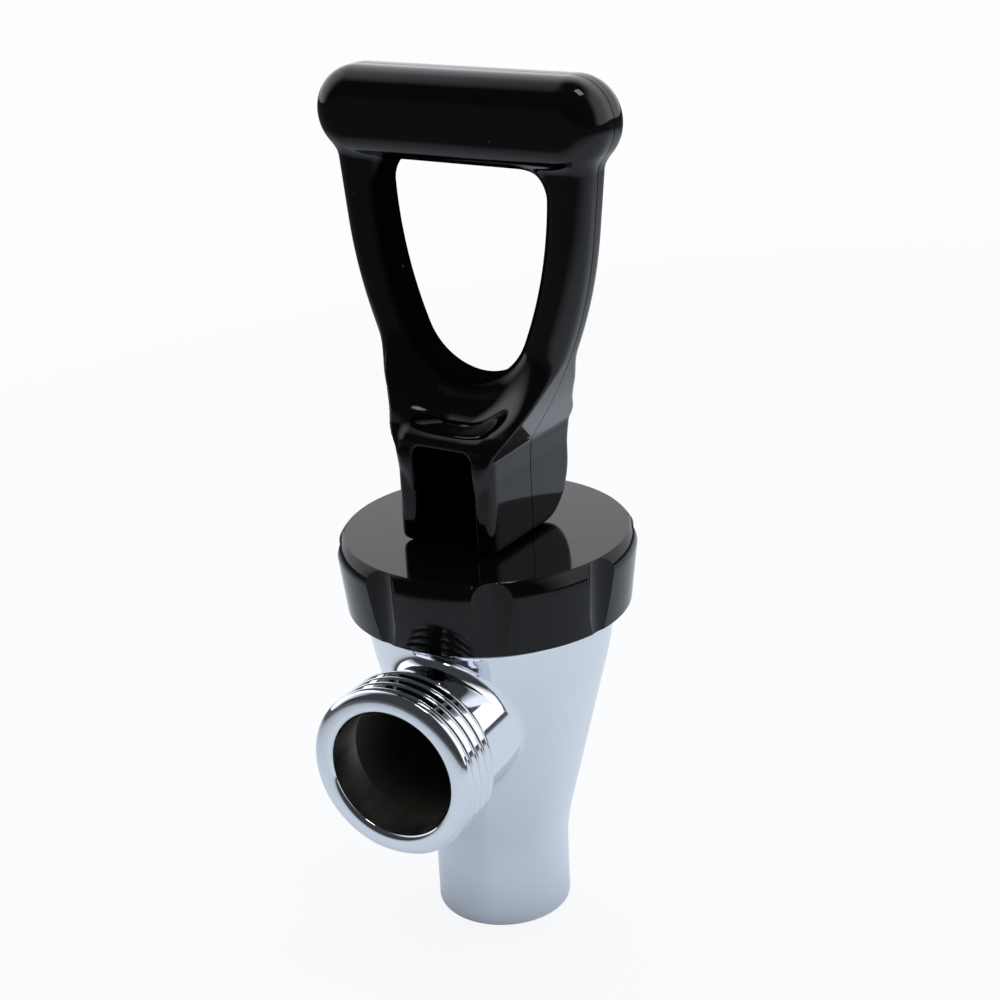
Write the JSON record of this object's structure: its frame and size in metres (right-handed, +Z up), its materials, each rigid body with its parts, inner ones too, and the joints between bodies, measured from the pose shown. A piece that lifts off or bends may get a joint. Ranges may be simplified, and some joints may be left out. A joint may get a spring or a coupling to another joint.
{
  "type": "beverage dispenser spigot",
  "caption": "Self-closing lift-handle dispenser faucet: chrome tapered body with a threaded inlet shank, black scalloped bonnet and black D-shaped pull handle.",
  "frame": {"origin": "centre of the spout's mouth, at the lowest point of the body", "axes": "+Z up along the spout and stem axis, -Y out along the inlet shank, +X along the handle's grip bar, which stands turned 4.5 degrees about Z at rest"},
  "size_m": [0.0468, 0.0536, 0.1297],
  "materials": {
    "chrome": "polished chrome plate",
    "bonnet_plastic": "glossy moulded black",
    "handle_plastic": "glossy moulded black",
    "steel": "stainless, drawn",
    "stem_steel": "stainless, turned",
    "spring_steel": "stainless wire",
    "silicone": "translucent moulded silicone"
  },
  "bodies": {
    "faucet": {"faucet_body": "chrome", "bonnet": "bonnet_plastic", "seat_cup": "silicone"},
    "spring_pack": {"spring_washer": "steel", "spring": "spring_steel"},
    "stem": {"stem": "stem_steel"},
    "handle": {"handle": "handle_plastic", "handle_pin": "steel"}
  },
  "joints": [
    {"name": "handle_swivel", "type": "hinge", "parent": "faucet", "child": "spring_pack", "pos_m": [0, 0, 0.0628], "axis": [0, 0, 1], "continuous": true},
    {"name": "stem_lift", "type": "slide", "parent": "spring_pack", "child": "stem", "axis": [0, 0, 1], "range_m": [0, 0.00568], "stiffness_N_per_m": 800, "springref_m": -0.005, "deforming": ["spring", "seat_cup"]},
    {"name": "handle_pull", "type": "hinge", "parent": "stem", "child": "handle", "pos_m": [0, 0, 0.0675], "axis": [-0.9969, 0.0785, 0], "range_deg": [0, 75]}
  ],
  "couplings": [
    {"joint": "handle_pull", "follows": "stem_lift", "rad_per_m": 230.66}
  ]
}
